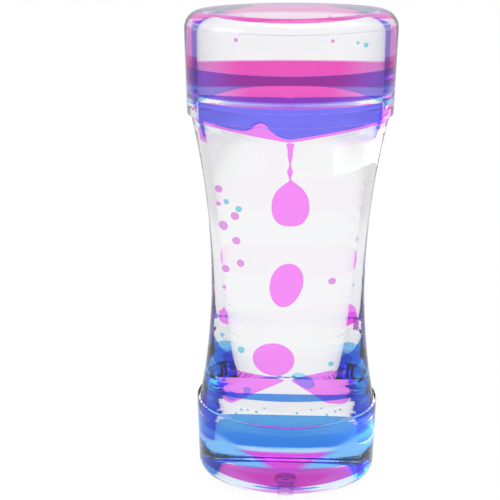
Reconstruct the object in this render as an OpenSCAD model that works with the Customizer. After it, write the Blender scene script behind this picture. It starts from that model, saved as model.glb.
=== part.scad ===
// Liquid motion timer: a clear, waisted vessel of oval section. Two dyed liquids run down
// through clear oil from the upper reservoir to the lower one, drop by drop.
// Origin at the centre of the base, +Z up, millimetres. Both ends are built alike and mirrored.
// The section is an oval of four arcs, the datum oval. Every other oval is an offset of it, by a
// distance that is negative inside it.

/* [Vessel] */
// Overall height
height = 142; // [120:1:180]
// Width of the end caps
end_width = 55.4; // [50:0.2:70]
// Depth of the end caps, front to back
end_depth = 37.8; // [34:0.2:44]
// Radius of the oval's two round ends
end_arc_r = 14.5; // [13:0.1:16]
// How far the waist is drawn in on every side
waist_in = 5.4; // [3:0.1:6.5]
// Thickness of the waisted body's wall
body_wall = 2.5; // [1.6:0.1:3]
// How far the body stands back under the edge of a cap
shoulder_step = 0.9; // [0.5:0.1:1.1]

/* [Caps] */
// Height of each cap's band
cap_h = 26.5; // [24.5:0.5:32]
// Wall of a cap
cap_wall = 1.4; // [1.2:0.1:1.8]
// Thickness of a cap's end plate
cap_plate = 4; // [3:0.1:5]
// Radius of a cap's rounded outer edge
rim_r = 4.5; // [3:0.1:5]

/* [Trays] */
// Distance of the tray plate's reservoir face from the end of the vessel
tray_depth = 20.8; // [18:0.1:22]
// Thickness of the tray plate
tray_plate = 1.2; // [0.8:0.1:1.6]
// Wall of the tray
tray_wall = 1; // [0.8:0.1:1.4]
// Gap between a tray's wall and its cap
tray_gap = 0.9; // [0.7:0.1:1.2]
// Length of the cross-shaped port in the tray plate
port_length = 7; // [5:0.1:9]
// Width of each slot of the cross-shaped port
port_slot = 1.6; // [1:0.1:2.4]

/* [Funnels] */
// Thickness of a funnel's flange
flange_t = 1.2; // [0.8:0.1:1.6]
// Distance of a funnel's skirt inside the datum oval
skirt_in = 5.6; // [5.2:0.1:6.4]
// Wall of a funnel's skirt
skirt_wall = 1.1; // [0.8:0.1:1.4]
// Length of the skirt from the flange to the low corner of the funnel
skirt_h = 6.5; // [5:0.1:8]
// Rise of the funnel from its corners to its nozzle
funnel_rise = 4.4; // [3:0.1:6]
// Thickness of the funnel's sloping floor
funnel_t = 1.5; // [1:0.1:2]
// Half depth of a funnel's hopper where it leaves the flange
hopper_half = 5.2; // [4.5:0.1:8]
// Bore of the nozzle
nozzle_bore = 2.6; // [1.6:0.1:3]
// Width of the rim round the nozzle
nozzle_rim = 1.1; // [0.8:0.1:2]
// Height of the nozzle above the funnel's ridge
nozzle_h = 1.2; // [0.5:0.1:2]
// Diameter of the vents that let the liquid and the oil change places
vent_d = 1.8; // [1:0.1:2.4]
// Distance of the vents from the middle
vent_x = 17.5; // [15:0.1:18]

/* [Fill plug] */
// Diameter of the fill plug's shank
plug_d = 4.4; // [3.6:0.1:4.8]
// Distance of the fill plug from the front of the base
plug_in = 7.7; // [7.6:0.1:9]
// Depth of the plug's recess in the base
plug_recess = 0.4; // [0.2:0.1:1]
// Height of the plug's head inside the cap
plug_head_h = 2; // [1:0.1:3]
// Diameter of the plug's head
plug_head_d = 6; // [5.2:0.1:6]

/* [Liquids] */
// Clearance between a liquid and what holds it
film = 0.1; // [0.05:0.05:0.15]
// Clearance round a drop as it moves
drop_gap = 0.3; // [0.2:0.05:0.5]
// Distance of the upper liquid's surface from the top
upper_level = 13.7; // [12:0.1:15]
// Height of the lower liquid's surface above the base
lower_level = 13.7; // [12:0.1:15]
// Height at which the lower pink liquid meets the blue one
lower_split = 9.2; // [8:0.1:10]
// Thickness of the pink film on the upper funnel
film_t = 0.8; // [0.5:0.1:1]
// Height of the pink pools on the lower funnel, above its corner
pool_h = 6.8; // [4:0.1:7]
// Half depth of the pink pools, front to back
pool_half = 2.2; // [1.5:0.1:5]
// Clear half width between the two pink pools
pool_split = 3.6; // [3:0.1:6]
// How far the blue liquid between the upper tray and the cap reaches behind the middle
seep_back = 2; // [0:0.5:8]
// Half angle round the end over which pink liquid is caught beside the upper funnel
seep_angle = 26; // [15:1:40]
// Half angle round the end over which liquid runs past the lower funnel
stream_angle = 13; // [8:1:25]

/* [Drops] */
// Radius of the drop that forms on the thread
forming_r = 4.5; // [3:0.1:5]
// Distance of the forming drop's centre below the top
forming_depth = 52.8; // [52:0.1:58]
// Slope of the forming drop's tail, from the axis
tail_angle = 30; // [28:1:40]
// Radius of the drop in mid fall
falling_r = 4.2; // [3:0.1:5]
// Distance of the drop in mid fall below the middle of the vessel
falling_below = 5.2; // [4:0.1:7]
// Straight length in the middle of the drop in mid fall
falling_stretch = 5.2; // [0:0.1:6]
// Radius of the drop that has just landed
landed_r = 5.3; // [4:0.1:5.4]
// Distance of the landed drop to the left
landed_x = 3.3; // [2:0.1:5]
// Gap between the landed drop and the nozzle under it
landed_gap = 0.5; // [0.4:0.1:3]
// Radius of the thread that feeds the forming drop
thread_r = 0.35; // [0.3:0.05:0.6]
// Travel of the drops down the vessel
drop_travel = 9; // [4:0.5:9]
// Travel of the droplets beside them
droplet_travel = 6; // [2:0.5:7]

/* [Hidden] */
$fn = 72;
mid = height / 2;
// The oval is drawn with four arcs: two round ends and two flatter sides
half_w = end_width / 2;
half_d = end_depth / 2;
end_c = half_w - end_arc_r;
side_r = (end_c * end_c + half_d * half_d - end_arc_r * end_arc_r) / (2 * (half_d - end_arc_r));
side_c = side_r - half_d;
// Reach past a face for clean cuts, and how far joined solids run into each other
over = 1;
lap = 0.6;
far = 2 * end_width;
// The arcs meet on lines through their centres, drawn this many times as long as they need be
reach = 4;
// Heights in an end, measured from its outer face
seat_d = tray_depth + tray_plate;
spigot_d = seat_d + flange_t;
corner_d = spigot_d + skirt_h;
ridge_d = corner_d + funnel_rise;
nozzle_d = ridge_d + nozzle_h;
// Distances from the datum oval
tray_out = -(cap_wall + tray_gap);
tray_in = tray_out - tray_wall;
skirt_out = -skirt_in;
skirt_inner = skirt_out - skirt_wall;
spigot_out = -(cap_wall + film);
skirt_half = half_w + skirt_out;
nozzle_r = nozzle_bore / 2 + nozzle_rim;
plug_r = plug_d / 2;
plug_y = half_d - plug_in;
// Heights of the large drops' centres
forming_z = height - forming_depth;
falling_z = mid - falling_below;
landed_z = nozzle_d + landed_gap + landed_r;
// Tip of the forming drop's tail above its centre, where the cone's surface ends
forming_tail = (forming_r - thread_r * cos(tail_angle)) / sin(tail_angle);
// The waist is one arc, from cap to cap
waist_half = mid - cap_h;
waist_sag = waist_in - shoulder_step;
waist_r = (waist_half * waist_half + waist_sag * waist_sag) / (2 * waist_sag);
spigot_in = body_in(cap_h);
// The gap beside a funnel's skirt is narrowest at the skirt's corner
gap_out = body_in(corner_d);
// Small droplets: x and y as shares of the half width and half depth, height as a share of the
// vessel's, and radius
PINK_DROPLETS = [
    [-0.635, -0.106, 0.6697, 1.1], [-0.646, -0.106, 0.638, 0.7], [-0.491, -0.212, 0.6183, 1.2],
    [-0.603, -0.106, 0.5923, 1.4], [-0.484, -0.212, 0.5655, 1.2], [-0.444, -0.212, 0.5169, 1],
    [-0.592, -0.106, 0.4972, 1.2], [-0.61, -0.106, 0.4556, 0.6], [0.415, -0.212, 0.4803, 1.1],
    [-0.617, -0.106, 0.4049, 0.5]
];
BLUE_DROPLETS = [[-0.563, -0.106, 0.6444, 0.8], [-0.451, -0.212, 0.6338, 0.9]];
// Those at rest have their height above the lower funnel's corner instead
SETTLED_DROPLETS = [
    [-0.635, -0.106, 19.2, 0.7], [-0.437, -0.159, 15.2, 1], [0.419, -0.159, 11, 0.8]
];
POOL_DROPS = [[-0.635, -0.106, 2.7, 1.5], [-0.415, -0.212, 3.5, 1.2], [0.166, -0.106, 7.7, 1.7]];
// Those under the end plate have their distance below it
CEILING_DROPLETS = [
    [-0.448, -0.265, 1.3, 0.5], [0.339, -0.265, 1.6, 0.5], [0.621, -0.265, 3.8, 0.6],
    [0.549, -0.265, 3.2, 0.4]
];

// Distance of the waisted body's inner face from the datum oval, at height z
function body_in(z) = -waist_in + waist_r - sqrt(pow(waist_r + body_wall, 2) - pow(mid - z, 2));

// The part of the plan that lies between the lines on which the arcs meet
module between_ends() {
    out_x = end_c + reach * end_c;
    out_y = reach * side_c;
    polygon([
        [-end_c, 0], [-out_x, out_y], [out_x, out_y], [end_c, 0], [out_x, -out_y], [-out_x, -out_y]
    ]);
}

// A filled oval, out from the datum line by d
module oval(d = 0) {
    for (s = [-1, 1]) translate([s * end_c, 0]) circle(end_arc_r + d);
    intersection() {
        translate([0, -side_c]) circle(side_r + d);
        translate([0, side_c]) circle(side_r + d);
        between_ends();
    }
}

// A filled oval prism between two heights
module oval_prism(d, z0, z1) {
    translate([0, 0, z0]) linear_extrude(z1 - z0) oval(d);
}

// Turns a filled outline about an upright axis at x, y that lies r inside its datum line
module turned(x, y, r) {
    translate([x, y, 0]) rotate_extrude() intersection() {
        translate([r, 0]) children();
        square([far, height]);
    }
}

// A solid whose outline is the same all round the oval; its x is the distance outside the
// datum line, negative inside, and its y is the height
module oval_turned() {
    for (s = [-1, 1]) turned(s * end_c, 0, end_arc_r) children();
    intersection() {
        turned(0, -side_c, side_r) children();
        turned(0, side_c, side_r) children();
        linear_extrude(height) between_ends();
    }
}

// Carries an outline round the right-hand end of the oval only
module around_end(half_angle) {
    translate([end_c, 0, 0]) rotate([0, 0, -half_angle])
        rotate_extrude(angle = 2 * half_angle) translate([end_arc_r, 0]) children();
}

// A ring between two distances and two heights
module oval_ring(d_in, d_out, z0, z1) {
    translate([0, 0, z0]) linear_extrude(z1 - z0) difference() {
        oval(d_out);
        oval(d_in);
    }
}

// Puts what was drawn for the lower end at the upper end
module at_top() {
    translate([0, 0, height]) mirror([0, 0, 1]) children();
}

// Outline of what the waist's arc leaves between two heights, d inside the body's surface
module waist_outline(d, z0, z1) {
    difference() {
        translate([-far, z0]) square([far, z1 - z0]);
        translate([-waist_in + waist_r, mid]) circle(waist_r + d, $fn = 180);
    }
}

module waisted(d, z0, z1) {
    oval_turned() waist_outline(d, z0, z1);
}

// Outline of the body, d inside its surface, with a straight stretch from z0 to z1 in each end
module body_outline(d, straight, z0, z1) {
    waist_outline(d, cap_h, height - cap_h);
    for (z = [z0, height - z1]) translate([-far, z]) square([far + straight, z1 - z0]);
}

// The waisted wall, with a spigot for each cap
module body_shell() {
    color("aliceblue", 0.35) difference() {
        oval_turned() body_outline(0, spigot_out, spigot_d, cap_h + lap);
        oval_turned() body_outline(body_wall, spigot_in, spigot_d - over, cap_h);
    }
}

// A cup with a rounded outer edge
module cap() {
    difference() {
        oval_turned() difference() {
            translate([-far, 0]) square([far, cap_h]);
            difference() {
                translate([-rim_r, -rim_r]) square(2 * rim_r);
                translate([-rim_r, rim_r]) circle(rim_r);
            }
        }
        oval_prism(-cap_wall, cap_plate, cap_h + over);
    }
}

module top_cap() {
    color("lightcyan", 0.35) at_top() cap();
}

module bottom_cap() {
    color("lightcyan", 0.35) difference() {
        cap();
        translate([0, -plug_y, -over]) cylinder(r = plug_r, h = cap_plate + 2 * over);
    }
}

// Plug of the hole through which the vessel is filled, with its head inside the cap
module fill_plug() {
    color("whitesmoke") translate([0, -plug_y, 0]) {
        translate([0, 0, plug_recess]) cylinder(r = plug_r, h = cap_plate - plug_recess);
        translate([0, 0, cap_plate]) cylinder(r = plug_head_d / 2, h = plug_head_h);
    }
}

// Reservoir tray: a wall, and a plate with a cross-shaped port and two vents
module tray() {
    difference() {
        union() {
            oval_ring(tray_in, tray_out, cap_plate, seat_d);
            oval_prism(tray_in + tray_wall / 2, tray_depth, seat_d);
        }
        for (a = [0, 90]) rotate([0, 0, a])
            translate([-port_length / 2, -port_slot / 2, tray_depth - over])
                cube([port_length, port_slot, tray_plate + 2 * over]);
        vents(tray_depth - over, tray_plate + 2 * over);
    }
}

module vents(z, h) {
    for (s = [-1, 1]) translate([s * vent_x, 0, z]) cylinder(d = vent_d, h = h);
}

module upper_tray() {
    color("azure", 0.4) at_top() tray();
}

module lower_tray() {
    color("azure", 0.4) tray();
}

// Everything under the funnel's sloping floor, lowered by drop, as a prism from front to back
// that reaches past the skirt
module under_ridge(drop = 0) {
    edge = skirt_half + over;
    low = corner_d - drop - over * funnel_rise / skirt_half;
    translate([0, half_d, 0]) rotate([90, 0, 0]) linear_extrude(2 * half_d)
        polygon([[-edge, 0], [-edge, low], [0, ridge_d - drop], [edge, low], [edge, 0]]);
}

// Everything under the hopper's front and back, drawn in by inset, as a prism from side to side
module under_sides(inset = 0) {
    half = hopper_half - inset;
    top = spigot_d + half * (ridge_d - spigot_d) / hopper_half;
    translate([-half_w, 0, 0]) rotate([90, 0, 90]) linear_extrude(end_width)
        polygon([[-half, 0], [half, 0], [half, spigot_d], [0, top], [-half, spigot_d]]);
}

// Outer form of a funnel above its flange, grown by g: a hopper, narrow from front to back, and
// its nozzle
module funnel_form(g = 0) {
    intersection() {
        oval_prism(skirt_out + g, spigot_d - lap, ridge_d + g);
        under_ridge(-g);
        under_sides(-g);
    }
    translate([0, 0, ridge_d - funnel_t]) cylinder(r = nozzle_r + g, h = funnel_t + nozzle_h + g);
}

// Space inside a funnel from height z0 up, g short of its walls and drop below its ridge
module funnel_space(g, z0, drop) {
    intersection() {
        oval_prism(skirt_inner - g, z0, ridge_d);
        under_ridge(drop);
        under_sides(skirt_wall + g);
    }
}

// Flanged funnel: a hopper with two sloping floors that meet at the nozzle, and two vents
module funnel() {
    difference() {
        union() {
            funnel_form();
            oval_prism(tray_out, seat_d, spigot_d);
        }
        funnel_space(0, seat_d - over, funnel_t);
        translate([0, 0, seat_d]) cylinder(d = nozzle_bore, h = nozzle_d);
        vents(seat_d, corner_d);
    }
}

module upper_funnel() {
    color("azure", 0.4) at_top() funnel();
}

module lower_funnel() {
    color("azure", 0.4) funnel();
}

// Carries out to a droplet's place in plan
module at(d) {
    translate([d[0] * half_w, d[1] * half_d, 0]) children();
}

// Clear path of a drop of radius r at height z that may move down by travel
module drop_path(z, r, travel, up = 0) {
    translate([0, 0, z - travel - r - drop_gap])
        cylinder(r = r + drop_gap, h = travel + 2 * (r + drop_gap) + up);
}

module upper_oil() {
    color("lightyellow", 0.3) difference() {
        oval_prism(tray_in - film, height - upper_level + film, height - cap_plate - film);
        for (d = CEILING_DROPLETS) at(d) drop_path(height - cap_plate - d[2], d[3], 0);
    }
}

module upper_pink_layer() {
    color("deeppink", 0.7)
        oval_prism(tray_in - film, height - tray_depth + film, height - upper_level);
}

// Blue liquid between the upper tray's plate and the film on the funnel
module upper_blue_fill() {
    color("royalblue", 0.7) at_top()
        funnel_space(film, seat_d + film, funnel_t + film_t + 2 * film);
}

// Pink film that has run down on to the upper funnel's floor
module upper_pink_film() {
    color("violet", 0.8) at_top() difference() {
        funnel_space(film, seat_d + film, funnel_t + film);
        under_ridge(funnel_t + film_t + film);
    }
}

// Blue liquid that has crept between the upper tray and the front of the cap
module upper_blue_seep() {
    color("deepskyblue", 0.6) at_top() difference() {
        oval_ring(tray_out + film, -cap_wall - film, upper_level, spigot_d - film);
        translate([-half_w, seep_back, 0]) cube([end_width, end_depth, mid]);
    }
}

// Outline of the gap between the skirt and the body, smaller by the film all round
module gap_outline() {
    translate([skirt_out + film, spigot_d + film])
        square([gap_out - skirt_out - 2 * film, skirt_h - 2 * film]);
}

// Pink liquid caught beside the upper funnel's skirt
module upper_pink_seep() {
    color("hotpink", 0.7) at_top() around_end(seep_angle) gap_outline();
}

// Thread of liquid from the nozzle to the forming drop
module pink_thread() {
    color("violet") {
        translate([0, 0, forming_z + forming_tail + drop_gap])
            cylinder(r = thread_r, h = height - ridge_d - forming_z - forming_tail - drop_gap);
        translate([0, 0, height - nozzle_d])
            cylinder(d = nozzle_bore - 2 * film, h = nozzle_d - ridge_d + funnel_t - film);
    }
}

// Drop that hangs from the thread: a sphere with a conical tail tangent to it
module forming_drop() {
    neck = forming_r * sin(tail_angle);
    color("violet") translate([0, 0, forming_z]) {
        sphere(forming_r);
        translate([0, 0, neck])
            cylinder(r1 = forming_r * cos(tail_angle), r2 = thread_r, h = forming_tail - neck);
    }
}

// Drop in mid fall: two half spheres with a straight stretch between them
module falling_drop() {
    color("violet") translate([0, 0, falling_z - falling_stretch / 2]) {
        sphere(falling_r);
        cylinder(r = falling_r, h = falling_stretch);
        translate([0, 0, falling_stretch]) sphere(falling_r);
    }
}

module landed_drop() {
    color("violet") translate([-landed_x, 0, landed_z]) sphere(landed_r);
}

// Droplets of a list whose heights are measured from z0, in the given unit
module droplets(list, z0 = 0, unit = 1) {
    for (d = list) at(d) translate([0, 0, z0 + d[2] * unit]) sphere(d[3]);
}

module pink_droplets() {
    color("violet") droplets(PINK_DROPLETS, unit = height);
}

module blue_droplets() {
    color("turquoise") droplets(BLUE_DROPLETS, unit = height);
}

module settled_droplets() {
    color("turquoise") droplets(SETTLED_DROPLETS, z0 = corner_d);
}

module pool_blue_drops() {
    color("mediumpurple") droplets(POOL_DROPS, z0 = corner_d);
}

module ceiling_droplets() {
    color("orchid") at_top() droplets(CEILING_DROPLETS, z0 = cap_plate);
}

// Oil of the middle chamber, between the funnels' corners, with a clear path for every drop
module middle_oil() {
    color("lightyellow", 0.25) difference() {
        waisted(body_wall + film, corner_d + film, height - corner_d - film);
        funnel_form(film);
        at_top() funnel_form(film);
        drop_path(forming_z, forming_r, drop_travel, forming_tail - forming_r);
        drop_path(falling_z, falling_r, drop_travel + falling_stretch / 2, falling_stretch / 2);
        translate([-landed_x, 0, 0]) drop_path(landed_z, landed_r, 0);
        translate([0, 0, forming_z]) cylinder(r = thread_r + film, h = height - ridge_d - forming_z);
        for (d = PINK_DROPLETS) at(d) drop_path(d[2] * height, d[3], droplet_travel);
        for (d = BLUE_DROPLETS) at(d) drop_path(d[2] * height, d[3], droplet_travel);
        for (d = SETTLED_DROPLETS) at(d) drop_path(corner_d + d[2], d[3], 0);
        for (d = POOL_DROPS) at(d) drop_path(corner_d + d[2], d[3], 0);
        for (side = [-1, 1]) pool_space(side, film);
    }
}

// Place of a pool that lies along the lower funnel's floor, grown by g; side is -1 for the left
// one, 1 for the right
module pool_space(side, g = 0) {
    split = pool_split - g;
    far_x = half_w + gap_out - film;
    floor_z = film - g;
    scale_x = funnel_rise / skirt_half;
    intersection() {
        waisted(body_wall + film, corner_d, corner_d + pool_h + g);
        translate([0, pool_half + g, 0]) rotate([90, 0, 0]) linear_extrude(2 * (pool_half + g))
            polygon([
                [side * split, ridge_d - split * scale_x + floor_z],
                [side * far_x, ridge_d - far_x * scale_x + floor_z],
                [side * far_x, corner_d + pool_h + g], [side * split, corner_d + pool_h + g]
            ]);
    }
}

module pink_pool(side) {
    difference() {
        pool_space(side);
        for (d = POOL_DROPS) at(d) drop_path(corner_d + d[2], d[3], 0);
        translate([-landed_x, 0, 0]) drop_path(landed_z, landed_r, 0);
    }
}

module left_pink_pool() {
    color("violet", 0.8) pink_pool(-1);
}

module right_pink_pool() {
    color("violet", 0.8) pink_pool(1);
}

// Liquid that runs past the lower funnel's skirt at the left
module rim_stream() {
    color("mediumorchid") mirror([1, 0, 0]) around_end(stream_angle) gap_outline();
}

module lower_oil() {
    color("lightyellow", 0.3)
        oval_prism(tray_in - film, lower_level + film, tray_depth - film);
}

module bottom_blue_pool() {
    color("dodgerblue", 0.7) oval_prism(tray_in - film, lower_split + film, lower_level);
}

module bottom_pink_pool() {
    color("deeppink", 0.7) difference() {
        oval_prism(tray_in - film, cap_plate + film, lower_split);
        translate([0, -plug_y, 0])
            cylinder(r = plug_head_d / 2 + film, h = cap_plate + plug_head_h + film);
    }
}

body_shell();
top_cap();
bottom_cap();
upper_tray();
lower_tray();
upper_funnel();
lower_funnel();
fill_plug();
upper_oil();
upper_pink_layer();
upper_blue_fill();
upper_pink_film();
upper_blue_seep();
upper_pink_seep();
pink_thread();
forming_drop();
falling_drop();
landed_drop();
pink_droplets();
blue_droplets();
settled_droplets();
middle_oil();
left_pink_pool();
right_pink_pool();
pool_blue_drops();
rim_stream();
lower_oil();
bottom_blue_pool();
bottom_pink_pool();
ceiling_droplets();
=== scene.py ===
# %% [markdown]
# # A liquid motion timer
#
# The timer is a clear waisted vessel of oval section. Two dyed liquids run down through clear oil,
# drop by drop, from a tray and funnel at the top to the same pair at the bottom. Nearly all of
# what the eye sees is light bent by the outside of the plastic and dyed by the liquids inside, so
# the lesson is mostly about glass-like surfaces that lie inside one another.
#
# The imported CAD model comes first. It is the fixed frame that every piece is fitted to.

# %% Load the frame
import math

import bmesh
import bpy
import mathutils
import numpy as np
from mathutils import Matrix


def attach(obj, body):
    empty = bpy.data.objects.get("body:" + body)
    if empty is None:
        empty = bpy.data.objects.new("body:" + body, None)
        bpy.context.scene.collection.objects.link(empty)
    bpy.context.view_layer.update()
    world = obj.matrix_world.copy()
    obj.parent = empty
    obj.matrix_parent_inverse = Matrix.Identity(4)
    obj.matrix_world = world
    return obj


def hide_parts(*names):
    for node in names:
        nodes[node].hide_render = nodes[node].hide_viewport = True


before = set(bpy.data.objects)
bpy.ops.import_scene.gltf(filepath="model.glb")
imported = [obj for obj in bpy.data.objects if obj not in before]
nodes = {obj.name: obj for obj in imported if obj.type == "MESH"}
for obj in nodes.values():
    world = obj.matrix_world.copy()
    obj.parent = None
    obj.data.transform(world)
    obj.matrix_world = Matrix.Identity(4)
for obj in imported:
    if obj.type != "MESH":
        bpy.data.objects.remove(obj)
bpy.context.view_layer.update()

# %% [markdown]
# ## Sizes
#
# All sizes are in millimetres, as a maker would give them, and become metres when a mesh is made.
# Heights of the ends are measured from the outer face of their own end, because both are alike.

# %% Sizes in millimetres
MM = 0.001
HEIGHT = 142.0
CAP_H, CAP_WALL, CAP_PLATE, RIM_R = 26.5, 1.4, 4.0, 4.5
WAIST_IN, BODY_WALL, STEP = 5.4, 2.5, 0.9
TRAY_Z, TRAY_OUT, TRAY_IN = 20.8, -2.3, -3.3
SEAT, SPIGOT, CORNER, RIDGE = 22.0, 23.2, 29.7, 34.1
SKIRT, SKIRT_WALL, FUNNEL_T = -5.6, 1.1, 1.5
HOPPER = 5.2
FILM = 0.1
UPPER_LEVEL, LOWER_LEVEL = 13.7, 13.7
END_C, END_R, SIDE_C, SIDE_R = 13.2, 14.5, 17.6, 36.5
HALF = CAP_H - HEIGHT / 2
SAG = WAIST_IN - STEP
WAIST_R = (HALF * HALF + SAG * SAG) / (2 * SAG)
print("waist arc radius:", round(WAIST_R, 1), "mm")

# %% [markdown]
# ## The oval
#
# The plan is an oval of four arcs, two round ends and two flatter sides. An offset of it has the
# same centres, so one table of centres, radii and directions gives every oval in the vessel.

# %% The oval's table
def oval_table(end_steps=20, side_steps=14):
    """Centre, radius and outward direction of each point of the oval, counter-clockwise from +x.

    A point of the oval at offset d is centre + (radius + d) * direction."""
    turn = math.atan2(SIDE_C, END_C)
    a = np.concatenate([np.linspace(0, turn, end_steps, endpoint=False),
                        np.linspace(turn, math.pi / 2, side_steps, endpoint=False)])
    on_end = np.arange(len(a)) < end_steps
    centre = np.where(on_end[:, None], [END_C, 0.0], [0.0, -SIDE_C])
    radius = np.where(on_end, END_R, SIDE_R)
    quarter = np.column_stack([centre, radius, np.cos(a), np.sin(a)])
    top = np.array([[0.0, -SIDE_C, SIDE_R, 0.0, 1.0]])
    right = np.vstack([quarter, top])
    left = right[-2::-1] * [-1, 1, 1, -1, 1]
    upper = np.vstack([right, left])
    lower = upper[-2:0:-1] * [1, -1, 1, 1, -1]
    table = np.vstack([upper, lower])
    return table[:, :2], table[:, 2], table[:, 3:]


CENTRE, RADIUS, OUT = oval_table()
COUNT = len(RADIUS)


def oval(d):
    """Points of the oval at offset d, one row each: centre + (radius + d) * direction."""
    return CENTRE + (RADIUS + np.asarray(d, float))[:, None] * OUT


print("points round the oval:", COUNT, "width:", round(np.ptp(oval(0)[:, 0]), 2), "mm")

# %% [markdown]
# ## Meshes from arrays
#
# A wall of the vessel is a profile carried round the oval. The profile is a list of offsets and
# heights, taken counter-clockwise round the solid, so that its faces point outwards. Each face
# takes its finish from the stretch of profile that it comes from.

# %% Mesh helpers
def new_object(name, points, faces, finish=None, materials=(), smooth_angle=35.0):
    """A mesh object in metres from points in millimetres, with its place in its mesh."""
    mesh = bpy.data.meshes.new(name)
    mesh.from_pydata(np.asarray(points, float) * MM, [], [list(map(int, f)) for f in faces])
    for m in materials:
        mesh.materials.append(m)
    if finish is not None:
        mesh.polygons.foreach_set("material_index", np.asarray(finish, np.int32))
    mesh.polygons.foreach_set("use_smooth", np.ones(len(mesh.polygons), bool))
    mesh.update()
    mesh.set_sharp_from_angle(angle=math.radians(smooth_angle))
    piece = bpy.data.objects.new(name, mesh)
    bpy.context.collection.objects.link(piece)
    return piece


def ring_faces(rings, n, closed=False):
    """Quads between ring after ring of n points, and for a closed profile back to the first."""
    i = np.arange(rings if closed else rings - 1)[:, None]
    k = np.arange(n)[None, :]
    j, l = (i + 1) % rings, (k + 1) % n
    return np.stack([i * n + k, i * n + l, j * n + l, j * n + k], -1).reshape(-1, 4)


def swept(name, profile, finish, materials, closed=False, at_top=False):
    """A solid whose profile is the same all round the oval.

    Ring i is the oval at offset profile[i][0] and height profile[i][1]; an open profile is
    closed by a flat face over its first and last ring."""
    profile = np.asarray(profile, float)
    plan = CENTRE[None] + (RADIUS[None] + profile[:, :1])[..., None] * OUT[None]
    z = np.broadcast_to(profile[:, 1:, None], (len(profile), COUNT, 1))
    points = np.concatenate([plan, z], -1).reshape(-1, 3)
    quads = ring_faces(len(profile), COUNT, closed)
    kinds = np.repeat(np.asarray(finish)[:len(quads) // COUNT], COUNT)
    faces = [tuple(q) for q in quads]
    if not closed:
        faces.append(tuple(range(COUNT))[::-1])
        faces.append(tuple(range((len(profile) - 1) * COUNT, len(profile) * COUNT)))
        kinds = np.append(kinds, [finish[0], finish[-1]])
    if at_top:
        points[:, 2] = HEIGHT - points[:, 2]
        faces = [f[::-1] for f in faces]
    piece = new_object(name, points, faces, kinds, materials)
    print(name, len(piece.data.polygons), "faces")
    return piece


def arc(cx, cz, r, a0, a1, steps):
    """Points of an arc in the profile's plane, centre (cx, cz), angles in degrees."""
    a = np.radians(np.linspace(a0, a1, steps))
    return np.column_stack([cx + r * np.cos(a), cz + r * np.sin(a)])


# %% [markdown]
# ## Colours and nodes
#
# Colours are written as sRGB hex values, as read from a colour chart, and one function turns them
# to the linear values that the shaders work in.

# %% Colour and node helpers
def linear(hex_colour):
    """sRGB hex to linear: c / 12.92 below 0.04045, else ((c + 0.055) / 1.055) ** 2.4."""
    c = np.array([int(hex_colour[i:i + 2], 16) for i in (0, 2, 4)]) / 255
    return tuple(np.where(c <= 0.04045, c / 12.92, ((c + 0.055) / 1.055) ** 2.4)) + (1.0,)


def add_node(tree, kind, settings=None, **links):
    """Adds one node; settings are its properties, links its inputs by name: a value or a socket."""
    node = tree.nodes.new(kind)
    for key, value in (settings or {}).items():
        setattr(node, key, value)
    for key, value in links.items():
        socket = node.inputs[key.replace("_", " ")]
        if isinstance(value, bpy.types.NodeSocket):
            tree.links.new(value, socket)
        else:
            socket.default_value = value
    return node


# %% [markdown]
# ## Plastic
#
# The vessel is injection-moulded acrylic, polished. Its index against air is 1.49. Its inside
# faces touch mineral oil, whose index is nearly the same, so there the index that matters is the
# ratio of the two, close to 1, and only their edges show as faint lines. Both faces of one wall
# are in one mesh: a closed shell with two finishes.
#
# The dyed liquids have almost the oil's own index too, so they show by colour alone, as in the
# real timer, where they look flat and bright. Dye is never mixed quite evenly, so each tint
# wanders a little between two shades, on a scale of a few millimetres.

# %% Clear materials
def zone_ramp(tree, along, zones, start, end):
    """A colour ramp over a range of heights; zones is a list of (height in mm, hex colour)."""
    node = add_node(tree, "ShaderNodeValToRGB", Fac=along.outputs["Result"])
    elements = node.color_ramp.elements
    while len(elements) < len(zones):
        elements.new(0.5)
    for element, (height, colour) in zip(elements, zones):
        element.position = (height - start) / (end - start)
        element.color = linear(colour)
    return node


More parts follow.
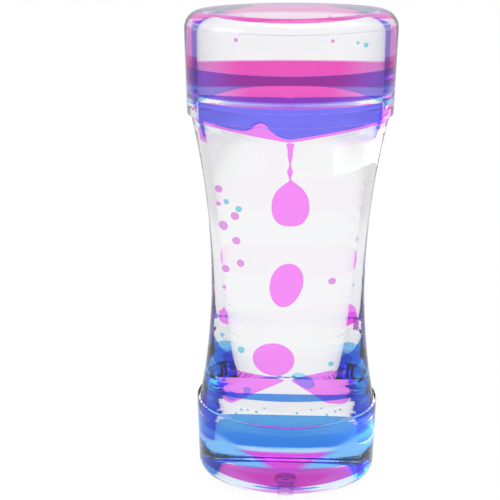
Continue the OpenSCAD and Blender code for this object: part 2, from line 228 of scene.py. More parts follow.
def clear_material(name, tint, ior, shade=None, grain_mm=6.0, roughness=0.0, ripple=0.0,
                   bands=None):
    """A clear body: a Principled surface that lets all light through and tints it.

    The tint wanders from tint to shade with a noise of grain_mm; ripple is the height in
    millimetres of a slow swell of the moulded face. bands replaces the wandering tint by zones
    across z + fall * y: a dict of fall, start and end in mm, middle and ends (lists of height and
    colour, for the middle of the long axis and for its ends), near and far (where one turns to
    the other), spread (how much wider the middle grows per mm of height) and wobble, the height of
    the waves in the zones' edges."""
    m = bpy.data.materials.new(name)
    m.use_nodes = True
    t = m.node_tree
    t.nodes.clear()
    out = add_node(t, "ShaderNodeOutputMaterial")
    p = add_node(t, "ShaderNodeBsdfPrincipled", Base_Color=linear(tint), IOR=ior,
                 Roughness=roughness)
    p.inputs["Transmission Weight"].default_value = 1.0
    place = add_node(t, "ShaderNodeTexCoord")
    noise = add_node(t, "ShaderNodeTexNoise", Vector=place.outputs["Object"],
                     Scale=1 / (grain_mm * MM), Detail=2.0)
    if shade:
        blend = add_node(t, "ShaderNodeMix", {"data_type": "RGBA"})
        t.links.new(noise.outputs["Fac"], blend.inputs[0])
        blend.inputs[6].default_value = linear(tint)
        blend.inputs[7].default_value = linear(shade)
        t.links.new(blend.outputs[2], p.inputs["Base Color"])
    if bands:
        part = add_node(t, "ShaderNodeSeparateXYZ", Vector=place.outputs["Object"])
        level = add_node(t, "ShaderNodeMath", {"operation": "MULTIPLY_ADD"})
        t.links.new(part.outputs["Y"], level.inputs[0])
        level.inputs[1].default_value = bands["fall"]
        t.links.new(part.outputs["Z"], level.inputs[2])
        wave = add_node(t, "ShaderNodeMath", {"operation": "MULTIPLY_ADD"})
        t.links.new(noise.outputs["Fac"], wave.inputs[0])
        wave.inputs[1].default_value = bands["wobble"] * MM
        t.links.new(level.outputs[0], wave.inputs[2])
        start, end = bands["start"], bands["end"]
        along = add_node(t, "ShaderNodeMapRange", Value=wave.outputs[0], From_Min=start * MM,
                         From_Max=end * MM)
        ramps = [zone_ramp(t, along, bands[key], start, end) for key in ("middle", "ends")]
        away = add_node(t, "ShaderNodeMath", {"operation": "ABSOLUTE"})
        t.links.new(part.outputs["X"], away.inputs[0])
        width = add_node(t, "ShaderNodeMath", {"operation": "MULTIPLY_ADD"})
        t.links.new(wave.outputs[0], width.inputs[0])
        width.inputs[1].default_value = -bands["spread"]
        t.links.new(away.outputs[0], width.inputs[2])
        share = add_node(t, "ShaderNodeMapRange", {"interpolation_type": "SMOOTHSTEP"},
                         Value=width.outputs[0], From_Min=bands["near"] * MM,
                         From_Max=bands["far"] * MM)
        both = add_node(t, "ShaderNodeMix", {"data_type": "RGBA"})
        t.links.new(share.outputs["Result"], both.inputs[0])
        t.links.new(ramps[0].outputs["Color"], both.inputs[6])
        t.links.new(ramps[1].outputs["Color"], both.inputs[7])
        t.links.new(both.outputs[2], p.inputs["Base Color"])
    if ripple:
        bump = add_node(t, "ShaderNodeBump", Height=noise.outputs["Fac"], Strength=1.0,
                        Distance=ripple * MM)
        t.links.new(bump.outputs["Normal"], p.inputs["Normal"])
    t.links.new(p.outputs["BSDF"], out.inputs["Surface"])
    return m


# The faces in air do nearly all of the bending and the shining.
acrylic = clear_material("acrylic_polished", "FFFFFF", 1.49, "FCFDFD", grain_mm=14, ripple=0.02)
# The faces that oil wets show only at their edges, as faint lines.
acrylic_wet = clear_material("acrylic_wet_face", "FFFFFF", 1.012, "FCFCFD")
insert_wet = clear_material("insert_wet_face", "FFFFFF", 1.008, "FBFBFC")
# The oil is a little grey where it is deep, and clearer in the shallow rooms at the ends.
oil = clear_material("mineral_oil", "FAFAFA", 1.0, "F8F8F9", grain_mm=25)
oil_thin = clear_material("mineral_oil_thin", "FFFFFF", 1.0, "FAFAFB", grain_mm=20)
print("clear materials:", len(bpy.data.materials))

# %% Liquid materials
# The large drops and the lobes look flat and bright, and the small drops paler.
pink_water = clear_material("pink_dyed_water", "FF88FD", 1.0, "FF96FF")
pink_pale = clear_material("pink_dyed_water_pale", "F0A4F0", 1.0, "E89CEA", grain_mm=2)
# Dyed water is deep along a long way and pale along a short one, so the layer's side faces carry
# the colour and its upper and lower faces hardly any.
LAYER_LOW, LAYER_HIGH, FACE, FADE = 120.9, 128.6, 0.5, 0.2


def layer_zones(side_colour):
    """Zones of the layer by height: pale lower face, coloured side, pale upper face."""
    low, high = "FFF6FC", "FAD4F0"
    return [(LAYER_LOW, low), (LAYER_LOW + FACE, low), (LAYER_LOW + FACE + FADE, side_colour),
            (LAYER_HIGH - FACE - FADE, side_colour), (LAYER_HIGH - FACE, high), (LAYER_HIGH, high)]


DEEP = {"fall": 0, "start": LAYER_LOW, "end": LAYER_HIGH, "near": 9, "far": 21, "spread": 0,
        "wobble": 0, "middle": layer_zones("EE1A9C"), "ends": layer_zones("DD5FD5")}
pink_layer = clear_material("pink_dyed_water_deep", "EE2294", 1.0, grain_mm=5, bands=DEEP)
# Blue is cyan where it is thin and violet where pink lies behind it.
cyan_water = clear_material("blue_dyed_water_thin", "86DCE8", 1.0, "94DFEC", grain_mm=2)
cyan_film = clear_material("blue_dyed_film", "9CDDF7", 1.0, "A6E0FA", grain_mm=4)
violet_water = clear_material("violet_dyed_water", "6E69FD", 1.0, "827EFD", grain_mm=9)
# The two lower liquids have only just met: blue lies to the back, magenta to the front, and the
# line between them falls towards the back.
FALL, LOWEST, HIGHEST = 0.444, -6, 22
POOL = {"fall": FALL, "start": LOWEST, "end": HIGHEST, "near": -3.6, "far": 0.4, "spread": 1.3,
        "wobble": 0.9}
# In the middle, the pale cyan band from about 10 to 11.8 mm, between the pale pink and the deep
# blue, is a painted highlight: the bright wavy line where the blue meets the magenta.
UPPER_ZONES_AND_HIGHLIGHT = {**POOL,
               "middle": [(LOWEST, "FAD0FA"), (9.6, "F8C8F8"), (10.0, "D8F0FF"), (11.2, "B4E0FF"),
                          (11.8, "1484E8"), (15.0, "2C90EA"), (19.0, "58AAEA")],
               "ends": [(LOWEST, "FAD0FA"), (4.0, "F8C8F8"), (4.6, "84CAFC"), (15.0, "84CAFC"),
                        (19.0, "84CAF8")]}
LOWER_ZONES = {**POOL,
               "middle": [(LOWEST, "E65CCB"), (9.4, "E55AE6"), (10.2, "E4F2FF"),
                          (HIGHEST, "DCEEFF")],
               "ends": [(LOWEST, "E65CCB"), (4.0, "E65CCB"), (4.6, "ECF6FF"),
                        (HIGHEST, "ECF6FF")]}
blue_pool = clear_material("blue_dyed_water_deep_and_painted_highlight", "2A86E6", 1.0, grain_mm=7, bands=UPPER_ZONES_AND_HIGHLIGHT)
magenta_pool = clear_material("magenta_dyed_water_deep", "E65CDA", 1.0, grain_mm=7,
                              bands=LOWER_ZONES)
# The film is deep blue, the drops on the lobes pale, and the stream past the rim plum.
deep_blue_film = clear_material("blue_dyed_film_deep", "4A92EA", 1.0, "5CA4F0", grain_mm=2)
cyan_pale = clear_material("blue_dyed_water_pale", "B4F0FF", 1.0, "A8E8FA", grain_mm=2)
plum_water = clear_material("plum_dyed_water", "D67FE0", 1.0, "B84CC0", grain_mm=2)
# Polythene is milky: its rough, uneven face blurs what lies behind it.
polythene = clear_material("polythene_milky", "EBD6EE", 1.03, "D9BEE0", grain_mm=1.2,
                           roughness=0.3, ripple=0.3)

NODE_FINISH = {
    "upper_tray": insert_wet, "lower_tray": insert_wet, "upper_funnel": insert_wet,
    "lower_funnel": insert_wet, "upper_pink_film": pink_water, "upper_blue_fill": violet_water,
    "upper_blue_seep": cyan_film, "upper_pink_seep": pink_water, "rim_stream": plum_water,
    "upper_pink_layer": pink_layer, "bottom_blue_pool": blue_pool, "bottom_pink_pool": magenta_pool,
    "upper_oil": oil_thin, "lower_oil": oil_thin, "middle_oil": oil, "pink_thread": pink_water,
    "forming_drop": pink_water, "falling_drop": pink_water, "landed_drop": pink_water,
    "pink_droplets": pink_pale, "blue_droplets": cyan_water, "settled_droplets": cyan_water,
    "left_pink_pool": pink_water, "right_pink_pool": pink_water, "pool_blue_drops": cyan_water,
    "ceiling_droplets": pink_pale, "fill_plug": polythene,
}
for node_name, node_finish in NODE_FINISH.items():
    for s in nodes[node_name].material_slots:
        s.material = node_finish
print("CAD nodes given a finish:", len(NODE_FINISH))

# %% [markdown]
# ## The caps
#
# Each end is a cup with a broad rounded rim. Its outside is in air and its inside in liquid.

# %% Caps
LIP_R = 0.25


def cap_profile():
    """Base, rounded rim, wall, lip and inside of a cap, counter-clockwise round the plastic."""
    rim = arc(-RIM_R, RIM_R, RIM_R, -90, 0, 15)
    lip = arc(-LIP_R, CAP_H - LIP_R, LIP_R, 0, 90, 5)
    points = np.vstack([rim, lip, [[-STEP, CAP_H], [-CAP_WALL, CAP_H], [-CAP_WALL, CAP_PLATE]]])
    outer = len(rim) + len(lip)
    finish = [0] * outer + [1, 1, 1]
    return points, finish


points, finish = cap_profile()
for name, node, top in (("cap_lower", "bottom_cap", False), ("cap_upper", "top_cap", True)):
    cap = swept(name, points, finish, (acrylic, acrylic_wet), at_top=top)
    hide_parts(node)
    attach(cap, "vessel")

# %% [markdown]
# ## The waisted body
#
# The wall between the caps is one arc of large radius, drawn in by the same amount all round. Each
# of its ends fits into a cap with a small gap: SEAM in height and SPIGOT_GAP at the side.

# %% Body
def waist(d, z0, z1, steps):
    """Offsets and heights of the waist's arc, d inside the body's surface:
    offset = radius - waist - root((radius + d)^2 - (height above the middle)^2)."""
    z = np.linspace(z0, z1, steps)
    x = -WAIST_IN + WAIST_R - np.sqrt((WAIST_R + d) ** 2 - (z - HEIGHT / 2) ** 2)
    return np.column_stack([x, z])


SEAM, SPIGOT_GAP = 0.06, 0.1


def body_profile():
    """Outside up, then inside down, counter-clockwise round the wall."""
    top = HEIGHT - CAP_H
    outside = waist(0, CAP_H + SEAM, top - SEAM, 41)
    inside = waist(BODY_WALL, CAP_H, top, 41)[::-1]
    spigot = -CAP_WALL - SPIGOT_GAP
    points = np.vstack([
        [[spigot, SPIGOT + SEAM], [spigot, CAP_H + SEAM]], outside,
        [[spigot, top - SEAM], [spigot, HEIGHT - SPIGOT - SEAM],
         [inside[0, 0], HEIGHT - SPIGOT - SEAM]],
        inside, [[inside[0, 0], SPIGOT + SEAM]]])
    finish = np.ones(len(points), int)
    finish[2:2 + len(outside) - 1] = 0
    return points, finish


points, finish = body_profile()
body = swept("waisted_body", points, finish, (acrylic, acrylic_wet), closed=True)
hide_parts("body_shell")
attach(body, "vessel")

# %% [markdown]
# ## The inserts
#
# A tray and a funnel sit on each other inside each end. Where two clear bodies touch face to face,
# a bent ray can't tell which face comes first and is lost, so each insert is a copy of its solid
# that is a few hundredths of a millimetre smaller all over. A real joint has such a gap too.

# %% Inserts
EASE = 0.05


def eased(node, name, finish):
    """A copy of a node's solid, merged, with each point moved inwards by EASE:
    new point = point - EASE * normal."""
    mesh = nodes[node].data.copy()
    mesh.name = name
    work = bmesh.new()
    work.from_mesh(mesh)
    bmesh.ops.remove_doubles(work, verts=work.verts, dist=0.001 * MM)
    work.to_mesh(mesh)
    work.free()
    points, normals = np.empty(len(mesh.vertices) * 3), np.empty(len(mesh.vertices) * 3)
    mesh.vertices.foreach_get("co", points)
    mesh.vertex_normals.foreach_get("vector", normals)
    mesh.vertices.foreach_set("co", points - EASE * MM * normals)
    mesh.materials.clear()
    mesh.materials.append(finish)
    mesh.update()
    mesh.set_sharp_from_angle(angle=math.radians(30))
    piece = bpy.data.objects.new(name, mesh)
    bpy.context.collection.objects.link(piece)
    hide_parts(node)
    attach(piece, "vessel")
    print(name, len(mesh.polygons), "triangles")
    return piece


for end in ("upper", "lower"):
    eased(end + "_tray", end + "_tray_insert", insert_wet)
    eased(end + "_funnel", end + "_funnel_insert", insert_wet)

# %% [markdown]
# ## The oil
#
# Oil fills what the other pieces leave. Round a drop it is simply whatever the drop isn't, so the
# oil is one plain body here, and the drops lie inside it with an index of their own.

# %% Oil
def oil_body(name, profile, finish, node):
    """Oil between two heights: one profile carried round the oval."""
    body = swept(name, profile, [0] * len(profile), (finish,))
    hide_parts(node)
    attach(body, "vessel")
    return body


OIL_EDGE = TRAY_IN - FILM
ABOVE_IN, ABOVE_DOWN = 0.5, 0.6
BELOW_IN, BELOW_DOWN = 0.3, 0.5
oil_body("oil_column", waist(BODY_WALL + FILM, CORNER + FILM, HEIGHT - CORNER - FILM, 33), oil,
         "middle_oil")
# The two end rooms have their upper edge cut off by so much inwards and downwards.
oil_body("oil_above", [[OIL_EDGE, HEIGHT - UPPER_LEVEL + FILM],
                       [OIL_EDGE, HEIGHT - CAP_PLATE - ABOVE_DOWN],
                       [OIL_EDGE - ABOVE_IN, HEIGHT - CAP_PLATE - FILM]], oil_thin, "upper_oil")
oil_body("oil_below", [[OIL_EDGE, LOWER_LEVEL + FILM], [OIL_EDGE, TRAY_Z - BELOW_DOWN],
                       [OIL_EDGE - BELOW_IN, TRAY_Z - FILM]], oil_thin, "lower_oil")

# %% [markdown]
# ## Drops
#
# A drop is a profile turned about an upright axis. The profile is a smooth curve through a few
# points, the drop may lean, and it may be flatter from front to back than it is wide. Both of its
# poles are single points, so the surface is closed.

# %% Turned shapes
THINNEST = 0.01


def through(points, steps=6):
    """Smooth curve through the points: between two of them, the cubic whose slope at each is half
    the step from the point before it to the point after it."""
    p = np.asarray(points, float)
    p = np.vstack([2 * p[0] - p[1], p, 2 * p[-1] - p[-2]])
    t = np.linspace(0, 1, steps, endpoint=False)[None, :, None]
    a, b, c, d = p[:-3, None], p[1:-2, None], p[2:-1, None], p[3:, None]
    curve = 0.5 * (2 * b + (c - a) * t + (2 * a - 5 * b + 4 * c - d) * t ** 2
                   + (3 * b - a - 3 * c + d) * t ** 3)
    return np.vstack([curve.reshape(-1, p.shape[1]), p[-2:-1]])


def egg(half_width, half_height, taper=0.0, steps=17):
    """Profile of an egg, radius and height, from its bottom to its top:
    radius = half width * sin a * (1 - taper * cos a), height = - half height * cos a."""
    a = np.linspace(0, math.pi, steps)
    radius = half_width * np.sin(a) * (1 - taper * np.cos(a))
    return np.column_stack([radius, -half_height * np.cos(a)])


def turned(profile, place, lean=0.0, deep=1.0, sides=28):
    """Points and faces of a profile turned about an upright axis at a place, then leant to +x.

    x = r cos a, y = deep * r sin a."""
    profile = np.asarray(profile, float)
    a = np.arange(sides) * 2 * math.pi / sides
    r = np.repeat(np.maximum(profile[1:-1, :1], THINNEST), sides, 1)
    z = np.broadcast_to(profile[1:-1, 1:], r.shape)
    body = np.stack([r * np.cos(a), deep * r * np.sin(a), z], -1).reshape(-1, 3)
    points = np.vstack([body, [[0, 0, profile[0, 1]], [0, 0, profile[-1, 1]]]])
    c, s = math.cos(math.radians(lean)), math.sin(math.radians(lean))
    points = points @ np.array([[c, 0, -s], [0, 1, 0], [s, 0, c]]) + np.asarray(place, float)
    faces = [tuple(f) for f in ring_faces(len(profile) - 2, sides)]
    k = np.arange(sides)
    n, last = len(body), len(body) - sides
    low = np.column_stack([(k + 1) % sides, k, np.full(sides, n)])
    high = np.column_stack([last + k, last + (k + 1) % sides, np.full(sides, n + 1)])
    return points, faces + [tuple(f) for f in low] + [tuple(f) for f in high]


def liquid(name, shapes, finish, slot, body, *replaced):
    """One piece from several closed shapes that ride together."""
    start, points, faces = 0, [], []
    for p, f in shapes:
        points.append(p)
        faces += [tuple(np.add(q, start)) for q in f]
        start += len(p)
    piece = new_object(name, np.vstack(points), faces, None, (finish,), smooth_angle=80)
    if replaced:
        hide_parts(*replaced)
    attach(piece, body)
    print(name, len(shapes), "shapes", len(faces), "faces")
    return piece


# %% The three large drops and the thread
FORMING_Z, FALLING_Z, LANDED_Z = 89.9, 65.8, 41.1
THREAD = [[0, 109.3], [0.85, 109.2], [0.8, 108.4], [0.6, 107.2], [0.6, 105.6], [0.27, 103.8],
          [0.24, 102.6], [0.66, 100.9], [0.3, 99.4], [0.25, 98.9], [0, 98.8]]
TEAR = [[0, -5.3], [2.5, -4.7], [4.0, -2.7], [4.45, 0.2], [4.1, 3.2], [3.0, 5.6], [1.5, 7.3],
        [0.55, 8.2], [0.25, 8.8], [0, 8.85]]
liquid("thread_and_bead", [turned(through(THREAD[::-1], 4), (0.2, 0, 0))], pink_water,
       "pink_liquid", "vessel", "pink_thread")
liquid("tear_drop", [turned(through(TEAR, 5), (0.4, 0, FORMING_Z), sides=48)], pink_water,
       "pink_liquid", "forming_drop", "forming_drop")
liquid("egg_drop", [turned(egg(4.05, 7.0, 0.07, 25), (-0.4, 0, FALLING_Z), lean=9, sides=48)],
       pink_water, "pink_liquid", "falling_drop", "falling_drop")
liquid("resting_drop", [turned(egg(5.3, 5.1, -0.05, 25), (-3.3, 0, LANDED_Z), lean=22, sides=48)],
       pink_water, "pink_liquid", "vessel", "landed_drop")

# %% Small drops
def small_drops(rows, lean=8.0):
    """Small drops from rows of x, y, z and radius, each a slightly drawn-out egg."""
    return [turned(egg(r, r * (1.0 + 0.1 * math.sin(3 * i)), 0.06, 11), (x, y, z),
                   lean=lean * math.cos(i), sides=18) for i, (x, y, z, r) in enumerate(rows)]


HALF_W, HALF_D = END_C + END_R, SIDE_R - SIDE_C
SIDE_PINK = [[-17.6, -2, 95.1, 1.1], [-17.9, -2, 90.6, 0.65], [-13.6, -4, 87.8, 1.2],
             [-16.7, -2, 84.1, 1.35], [-13.4, -4, 80.3, 1.2], [-12.3, -4, 73.4, 1.05],
             [-16.4, -2, 70.6, 1.2], [-16.9, -2, 64.7, 0.6], [11.5, -4, 68.2, 1.1],
             [-17.1, -2, 57.5, 0.5]]
SIDE_CYAN = [[-15.6, -2, 91.5, 0.8], [-12.5, -4, 90.0, 0.9]]
SETTLED = [[-17.6, -2, 48.9, 0.65], [-12.1, -3, 44.9, 1.0], [11.6, -3, 40.7, 0.8]]
CEILING_PINK = [[-12.4, -6, 135.6, 0.5], [9.4, -6, 135.4, 0.45]]
CEILING_CYAN = [[17.2, -5, 134.2, 0.6], [15.2, -5, 134.8, 0.4]]
liquid("pink_side_drops", small_drops(SIDE_PINK), pink_pale, "pink_liquid", "side_droplets",
       "pink_droplets")
liquid("cyan_side_drops", small_drops(SIDE_CYAN), cyan_water, "cyan_liquid", "side_droplets",
       "blue_droplets")
liquid("cyan_settled_drops", small_drops(SETTLED), cyan_water, "cyan_liquid", "vessel",
       "settled_droplets")
liquid("ceiling_drops", small_drops(CEILING_PINK), pink_pale, "pink_liquid", "vessel",
       "ceiling_droplets")
liquid("ceiling_cyan_drops", small_drops(CEILING_CYAN), cyan_water, "cyan_liquid", "vessel")
liquid("blue_pool_drops", [turned(egg(1.8, 1.5, 0.05), (-15.7, -9.0, 31.6), deep=0.8, lean=10),
                           turned(egg(1.1, 1.3, 0.25), (-10.9, -8.8, 33.6), lean=5),
                           turned(egg(1.9, 3.6, -0.1), (4.6, -8.2, 37.6), lean=-52, deep=0.7)],
       cyan_pale, "violet_liquid", "vessel", "pool_blue_drops")

# %% [markdown]
# ## Liquid in the upper end
#
# The blue and the pink fill the narrow hopper of the upper funnel: blue above, and under it a thin
# pink film that swells to a mound left of the nozzle. Both are sections carried along x. Each
# section is as wide as the hopper is at its height, and the two share the line between them.

# %% Hopper liquids
HOPPER_IN = HOPPER - SKIRT_WALL - FILM
HOPPER_TIP = SPIGOT + HOPPER_IN * (RIDGE - SPIGOT) / HOPPER
ROOF_SLOPE = (RIDGE - CORNER) / (HALF_W + SKIRT)
MOUND_X, MOUND_H, MOUND_SPREAD = -6.2, 3.0, 2.6
PINK_FILM, NARROWEST, ROUND_END = 0.85, 0.45, 0.2


def hopper_half(x, depth):
    """Half depth of the hopper's inside at x and a depth from the top: it narrows towards the
    tip, and towards its round ends by the circle of those ends."""
    end_r = END_R + SKIRT - SKIRT_WALL - FILM
    past = np.maximum(np.abs(x) - END_C, 0)
    round_end = np.sqrt(np.maximum(end_r ** 2 - past ** 2, ROUND_END ** 2))
    narrow = HOPPER_IN * (HOPPER_TIP - depth) / (HOPPER_TIP - SPIGOT)
    narrow = np.clip(narrow, NARROWEST, HOPPER_IN)
    return np.minimum(narrow, round_end)


def film_line(x):
    """Depth of the line between blue and pink: the roof's slope less the mound's bell curve."""
    film = PINK_FILM + MOUND_H * np.exp(-((x - MOUND_X) / MOUND_SPREAD) ** 2)
    return RIDGE - FUNNEL_T - FILM - ROOF_SLOPE * np.abs(x) - film


def hopper_liquid(upper, lower, stations=61):
    """Points and faces between two depths, each given for every x."""
    reach_x = HALF_W + SKIRT - SKIRT_WALL - 2 * FILM
    x = reach_x * np.sin(np.linspace(-math.pi / 2, math.pi / 2, stations))
    t = np.array([0.0, 0.3, 0.65, 1.0])[:, None]
    d = upper(x) * (1 - t) + lower(x) * t
    d = np.vstack([d, d[::-1]])
    side = np.repeat([-1.0, 1.0], 4)[:, None]
    y = side * hopper_half(x, d)
    points = np.stack([np.broadcast_to(x, d.shape), y, HEIGHT - d], -1).transpose(1, 0, 2)
    n = len(d)
    faces = [tuple(f[::-1]) for f in ring_faces(stations, n)]
    faces += [tuple(range(n)), tuple(range((stations - 1) * n, stations * n))[::-1]]
    return points.reshape(-1, 3), faces


def level_depth(x):
    """Depth of the underside of the upper tray's plate."""
    return np.full_like(x, SEAT + FILM)


liquid("violet_fill", [hopper_liquid(level_depth, film_line)], violet_water, "violet_liquid",
       "vessel", "upper_blue_fill")
liquid("pink_film_and_mound",
       [hopper_liquid(lambda x: film_line(x) + 0.05,
                      lambda x: RIDGE - FUNNEL_T - FILM - ROOF_SLOPE * np.abs(x))],
       pink_water, "pink_liquid", "vessel", "upper_pink_film")

# %% [markdown]
# Blue has also crept into the narrow gap between tray and cap. At the ends it fills the gap, and
# in front it hangs as a strip whose lower edge rises towards the middle.

# %% Seep in the gap
STRIP_MIDDLE, STRIP_DROP, STRIP_REACH, STRIP_POWER = 126.1, 7.2, 24.5, 2.6


def gap_strip(keep, d_in, d_out, low, high):
    """Strip of the gap between two offsets, round the part of the oval where keep is true; low and
    high give its heights for every x."""
    a, b = oval(d_in)[keep], oval(d_out)[keep]
    rows = [(a, low), (b, low), (b, high), (a, high)]
    points = np.stack([np.column_stack([p, h(p[:, 0])]) for p, h in rows], 1)
    n = len(rows)
    faces = [tuple(f) for f in ring_faces(len(a), n)]
    faces += [tuple(range(n))[::-1], tuple(range((len(a) - 1) * n, len(a) * n))]
    return points.reshape(-1, 3), faces


def strip_low(x):
    """Lower edge of the strip: high in the middle, falling with the 2.6th power of x."""
    return STRIP_MIDDLE - STRIP_DROP * np.minimum(np.abs(x) / STRIP_REACH, 1) ** STRIP_POWER


def strip_high(x):
    """Upper edge, just under the level of the liquid."""
    return np.full_like(x, HEIGHT - UPPER_LEVEL)


# The points start at the middle of the back, so that the front ones follow one another.
from_back = np.roll(np.arange(COUNT), -(COUNT // 4))
front_half = from_back[OUT[from_back, 1] < 0.25]
seep = gap_strip(front_half, TRAY_OUT + FILM, -CAP_WALL - FILM, strip_low, strip_high)
liquid("blue_seep", [seep], cyan_film, "cyan_liquid", "vessel", "upper_blue_seep")

# %% [markdown]
# ## Liquid in the lower end
#
# Blue lies over pink in the lower tray: both keep their CAD shapes. Some blue rests on the flange
# behind the lower funnel, a flat lens-shaped film.

# %% Film behind the funnel
behind = turned(egg(17.5, 0.45, 0, 15), (0, 8.1, 23.8), deep=0.16, sides=60)
liquid("blue_behind_funnel", [behind], deep_blue_film, "blue_liquid", "vessel")

# %% [markdown]
# Small drops of the blue lie on the lower tray's plate, under the funnel. They are too small to run
# together, so each one sits where it came down.

# %% Specks on the plate
SPECK_Z = SEAT + 0.5
SPECKS = [[-13.4, -2.9, SPECK_Z, 0.4], [-11.5, 0.2, SPECK_Z, 0.42], [-9.8, 0.5, SPECK_Z, 0.35],
          [-7.6, -0.5, SPECK_Z, 0.42], [-3.1, -2.6, SPECK_Z, 0.3], [2.7, -0.4, SPECK_Z, 0.4],
          [6.2, 1.9, SPECK_Z, 0.3], [10.5, -2.1, SPECK_Z, 0.42], [13.8, 1.2, SPECK_Z, 0.46],
          [12.6, 0.1, SPECK_Z, 0.38], [-5.4, 2.4, SPECK_Z, 0.33], [8.6, 2.8, SPECK_Z, 0.28]]
liquid("plate_specks", small_drops(SPECKS, 20), cyan_water, "cyan_liquid", "vessel")

# %% [markdown]
# ## Pools on the lower funnel
#
# Two pink lobes lie on the funnel's sloping roof. Each is carried along x: its floor follows the
# roof, its top is nearly level, and its section is a flattened oval that closes at both ends.

# %% Pools
LOBE_Y, DROOP, ROOF_GAP = -2.4, 0.075, 0.15


def lobe(x0, x1, top, half_depth, tip, stations=26, sides=24):
    """A lobe from x0, its thin tip, to x1, its blunt end.

    Section at x: centre half way from roof to top, half height and half depth scaled by the
    blunt end's (1 - u^14)^(1/2) and by the tip's (u / tip)^(3/4), u running from tip to end. In
    front of the ridge it hangs by DROOP times y squared."""
    u = (1 - np.cos(np.linspace(0.02, math.pi - 0.02, stations))) / 2
    x = x0 + (x1 - x0) * u
    roof = RIDGE - ROOF_SLOPE * np.abs(x) + ROOF_GAP
    close = np.sqrt(np.maximum(1 - u ** 14, 0)) * np.minimum(1, (u / tip)) ** 0.75
    lift = np.interp(u, [0, 0.5, 1], [top, top, top - 0.5])
    half_h = (lift - roof) / 2 * close
    mid_h = (lift + roof) / 2
    a = np.arange(sides) * 2 * math.pi / sides
    across = np.sign(np.cos(a)) * np.abs(np.cos(a)) ** 0.5
    upward = np.sign(np.sin(a)) * np.abs(np.sin(a)) ** 0.5
    y = LOBE_Y + half_depth * close[:, None] * across[None]
    z = mid_h[:, None] + half_h[:, None] * upward[None] - DROOP * np.minimum(y, 0) ** 2
    points = np.stack([np.broadcast_to(x[:, None], y.shape), y, z], -1).reshape(-1, 3)
    faces = [tuple(f) for f in ring_faces(stations, sides)]
    n = len(points)
    k = np.arange(sides)
    points = np.vstack([points, [[x0, LOBE_Y, mid_h[0]], [x1, LOBE_Y, mid_h[-1]]]])
    last = n - sides
    first_fan = np.column_stack([(k + 1) % sides, k, np.full(sides, n)])
    last_fan = np.column_stack([last + k, last + (k + 1) % sides, np.full(sides, n + 1)])
    faces += [tuple(f) for f in np.vstack([first_fan, last_fan])]
    if x1 < x0:
        faces = [f[::-1] for f in faces]
    return points, faces


liquid("left_lobe", [lobe(-0.6, -18.9, 36.6, 5.2, 0.8)], pink_water, "pink_liquid", "vessel",
       "left_pink_pool")
liquid("right_lobe", [lobe(1.2, 18.6, 36.8, 4.9, 0.55)], pink_water, "pink_liquid", "vessel",
       "right_pink_pool")

# %% [markdown]
# ## The fill plug
#
# The plug is soft polythene, pressed into the base. Its head is rounded, with a dimple on top.

# %% Plug
PLUG_Y, PLUG_R = -(HALF_D - 7.7), 2.2
PLUG = [[0, 0.4], [1.9, 0.4], [PLUG_R, 0.8], [PLUG_R, 3.6], [PLUG_R, 4.0], [2.9, 4.1], [2.95, 4.6],
        [2.4, 5.2], [2.7, 5.8], [1.6, 6.0], [0.5, 5.4], [0, 5.3]]
liquid("milky_plug", [turned(through(PLUG, 3), (0, PLUG_Y, 0), sides=36)], polythene,
       "plug_plastic", "vessel", "fill_plug")

# %% [markdown]
# ## The camera
#
# The view is from a little above the rim, close to the timer, which stands right of the middle.

# %% Camera
def look(yaw, pitch, roll):
    """Camera axes: turned left by yaw, down by pitch, then rolled, all in radians."""
    ahead = np.array([-math.sin(yaw) * math.cos(pitch), math.cos(yaw) * math.cos(pitch),
                      -math.sin(pitch)])
    right = np.array([math.cos(yaw), math.sin(yaw), 0.0])
    up = np.cross(right, ahead)
    c, s = math.cos(roll), math.sin(roll)
    return c * right + s * up, c * up - s * right, -ahead


YAW, PITCH, ROLL = 0.04973, 0.40284, -0.0075
CAMERA_AT, LENS = [0, -0.22124, 0.16914], 60.03
camera_data = bpy.data.cameras.new("camera")
camera_data.lens, camera_data.sensor_width = LENS, 36.0
camera_data.clip_start = 0.01
camera = bpy.data.objects.new("camera", camera_data)
bpy.context.collection.objects.link(camera)
axes = np.column_stack(look(YAW, PITCH, ROLL))
place = np.eye(4)
place[:3, :3] = axes
place[:3, 3] = CAMERA_AT
camera.matrix_world = mathutils.Matrix(place.tolist())
bpy.context.scene.camera = camera
print("lens:", camera_data.lens)

# %% [markdown]
# ## Floor, world and light
#
# The timer stands on a white table. The floor and the world are plain white where the camera or a
# bent ray sees them, and a little greyer far out to the sides, as in a room, so that the edges of
# clear plastic have something darker to show. The camera sees one twentieth of the table's matt
# white, which leaves a faint shadow.

# %% Floor and world
SIDE_GREY, DIM, SHADOWLESS = 0.82, 0.9, 0.95


def white_room(tree, coordinate, near, far):
    """White in the middle, falling to SIDE_GREY between near and far to either side."""
    split = add_node(tree, "ShaderNodeSeparateXYZ", Vector=coordinate)
    side = add_node(tree, "ShaderNodeMath", {"operation": "ABSOLUTE"})
    tree.links.new(split.outputs["X"], side.inputs[0])
    ramp = add_node(tree, "ShaderNodeMapRange", {"interpolation_type": "SMOOTHSTEP"},
                    Value=side.outputs[0])
    ramp.inputs["From Min"].default_value, ramp.inputs["From Max"].default_value = near, far
    ramp.inputs["To Min"].default_value, ramp.inputs["To Max"].default_value = 1.0, SIDE_GREY
    return ramp.outputs["Result"]


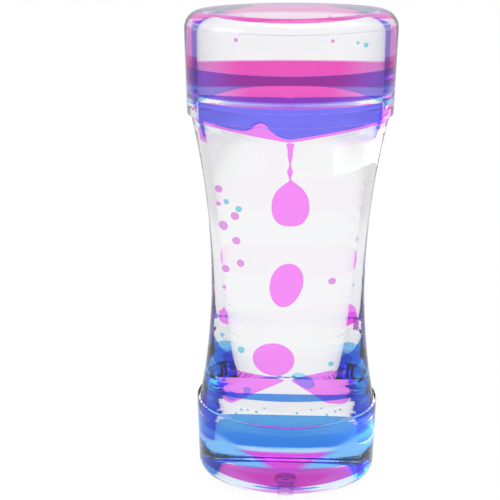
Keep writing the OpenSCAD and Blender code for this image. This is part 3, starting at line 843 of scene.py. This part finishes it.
floor_material = bpy.data.materials.new("white_table")
floor_material.use_nodes = True
t = floor_material.node_tree
t.nodes.clear()
out = add_node(t, "ShaderNodeOutputMaterial")
path = add_node(t, "ShaderNodeLightPath")
place = add_node(t, "ShaderNodeTexCoord")
matt = add_node(t, "ShaderNodeBsdfDiffuse", Color=linear("F8F8F8"))
seen = add_node(t, "ShaderNodeEmission", Color=(1, 1, 1, 1), Strength=1.0)
bent = add_node(t, "ShaderNodeEmission", Color=(1, 1, 1, 1),
                Strength=white_room(t, place.outputs["Object"], near=0.15, far=0.6))
glow = add_node(t, "ShaderNodeMixShader", {}, Fac=path.outputs["Is Camera Ray"])
t.links.new(bent.outputs[0], glow.inputs[1])
t.links.new(seen.outputs[0], glow.inputs[2])
clear = add_node(t, "ShaderNodeMath", {"operation": "MAXIMUM"})
t.links.new(path.outputs["Is Glossy Ray"], clear.inputs[0])
t.links.new(path.outputs["Is Transmission Ray"], clear.inputs[1])
share = add_node(t, "ShaderNodeMath", {"operation": "MULTIPLY_ADD"})
t.links.new(path.outputs["Is Camera Ray"], share.inputs[0])
share.inputs[1].default_value = SHADOWLESS
t.links.new(clear.outputs[0], share.inputs[2])
mix = add_node(t, "ShaderNodeMixShader", {}, Fac=share.outputs[0])
t.links.new(matt.outputs[0], mix.inputs[1])
t.links.new(glow.outputs[0], mix.inputs[2])
t.links.new(mix.outputs[0], out.inputs["Surface"])

FAR_EDGE, FLOOR_Z = 4000.0, -0.05
floor = new_object("floor", [[-FAR_EDGE, -FAR_EDGE, FLOOR_Z], [FAR_EDGE, -FAR_EDGE, FLOOR_Z],
                             [FAR_EDGE, FAR_EDGE, FLOOR_Z], [-FAR_EDGE, FAR_EDGE, FLOOR_Z]],
                   [(0, 1, 2, 3)], None, (floor_material,))

world = bpy.data.worlds.new("studio")
bpy.context.scene.world = world
world.use_nodes = True
t = world.node_tree
t.nodes.clear()
out = add_node(t, "ShaderNodeOutputWorld")
path = add_node(t, "ShaderNodeLightPath")
place = add_node(t, "ShaderNodeTexCoord")
dim = add_node(t, "ShaderNodeBackground", Color=(1, 1, 1, 1), Strength=DIM)
white = add_node(t, "ShaderNodeBackground", Color=(1, 1, 1, 1), Strength=1.0)
bent = add_node(t, "ShaderNodeBackground", Color=(1, 1, 1, 1),
                Strength=white_room(t, place.outputs["Generated"], near=0.45, far=0.95))
inner = add_node(t, "ShaderNodeMixShader", {}, Fac=path.outputs["Is Transmission Ray"])
t.links.new(dim.outputs[0], inner.inputs[1])
t.links.new(bent.outputs[0], inner.inputs[2])
mix = add_node(t, "ShaderNodeMixShader", {}, Fac=path.outputs["Is Camera Ray"])
t.links.new(inner.outputs[0], mix.inputs[1])
t.links.new(white.outputs[0], mix.inputs[2])
t.links.new(mix.outputs[0], out.inputs["Surface"])
print("floor and world: white, falling to", SIDE_GREY, "at the sides")

# %% Lamps
def soft_lamp(name, at, size, power, to=(0, 0, 0.07)):
    """A square soft lamp of size metres at a place, turned to a point."""
    data = bpy.data.lights.new(name, "AREA")
    data.size, data.energy = size, power
    lamp = bpy.data.objects.new(name, data)
    bpy.context.collection.objects.link(lamp)
    lamp.location = at
    toward = mathutils.Vector(to) - lamp.location
    lamp.rotation_euler = toward.to_track_quat("-Z", "Y").to_euler()
    return lamp


soft_lamp("lamp_above", (0.1, -0.1, 0.9), 0.8, 4.0)
soft_lamp("lamp_left", (-0.8, -0.5, 0.5), 0.5, 2.0)
print("lamps:", len(bpy.data.lights))

# %% [markdown]
# ## Depth of the light's path
#
# A ray crosses the front and back of many clear walls, so it needs more bends than usual.

# %% Path depth
BENDS = 48
scene = bpy.context.scene
scene.cycles.max_bounces = BENDS
scene.cycles.transmission_bounces = BENDS
scene.cycles.glossy_bounces = 12
scene.cycles.transparent_max_bounces = 24
scene.view_settings.view_transform = "Standard"
print("bends allowed:", scene.cycles.max_bounces)
